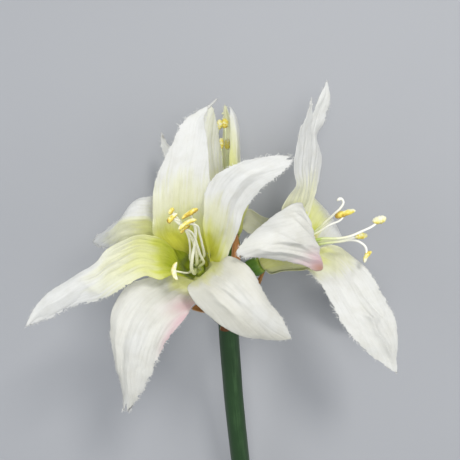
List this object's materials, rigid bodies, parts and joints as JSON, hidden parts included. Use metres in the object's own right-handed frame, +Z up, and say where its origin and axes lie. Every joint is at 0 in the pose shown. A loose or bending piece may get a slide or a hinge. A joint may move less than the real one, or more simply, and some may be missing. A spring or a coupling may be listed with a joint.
{
  "type": "artificial amaryllis stem",
  "caption": "Artificial amaryllis with open white fabric blooms on one short green plastic stem, cut and laid down on a surface.",
  "frame": {"origin": "on the surface that the stem lies on, under the middle of the bounding box", "axes": "+Z up from the surface; the stem runs towards -Y, the blooms are at +Y, and the open front bloom looks up"},
  "size_m": [0.2288, 0.3586, 0.1513],
  "materials": {
    "petal_fabric": "matte woven",
    "stem_plastic": "satin",
    "ovary_plastic": "satin",
    "stamen_plastic": "satin",
    "bract_paper": "matte",
    "wire_steel": "dull"
  },
  "bodies": {
    "root": {"bract_left": "bract_paper", "bract_right": "bract_paper", "bract_tall": "bract_paper", "ovary_a": "ovary_plastic", "ovary_b": "ovary_plastic", "ovary_c": "ovary_plastic", "pedicel_a": "stem_plastic", "pedicel_b": "stem_plastic", "pedicel_c": "stem_plastic", "petal_a1": "petal_fabric", "petal_a2": "petal_fabric", "petal_a3": "petal_fabric", "petal_a4": "petal_fabric", "petal_a5": "petal_fabric", "petal_a6": "petal_fabric", "petal_b1": "petal_fabric", "petal_b2": "petal_fabric", "petal_b3": "petal_fabric", "petal_b4": "petal_fabric", "petal_b5": "petal_fabric", "petal_b6": "petal_fabric", "petal_c1": "petal_fabric", "petal_c2": "petal_fabric", "petal_c3": "petal_fabric", "petal_c4": "petal_fabric", "petal_c5": "petal_fabric", "petal_c6": "petal_fabric", "stamen_a1": "stamen_plastic", "stamen_a2": "stamen_plastic", "stamen_a3": "stamen_plastic", "stamen_a4": "stamen_plastic", "stamen_a5": "stamen_plastic", "stamen_a6": "stamen_plastic", "stamen_b1": "stamen_plastic", "stamen_b2": "stamen_plastic", "stamen_b3": "stamen_plastic", "stamen_b4": "stamen_plastic", "stamen_b5": "stamen_plastic", "stamen_c1": "stamen_plastic", "stamen_c2": "stamen_plastic", "stamen_c3": "stamen_plastic", "stamen_c4": "stamen_plastic", "stamen_c5": "stamen_plastic", "stem_sleeve": "stem_plastic", "stem_wire": "wire_steel", "style_a": "stamen_plastic", "style_b": "stamen_plastic", "style_c": "stamen_plastic", "throat_boss_a": "ovary_plastic", "throat_boss_b": "ovary_plastic", "throat_boss_c": "ovary_plastic"}
  },
  "joints": []
}
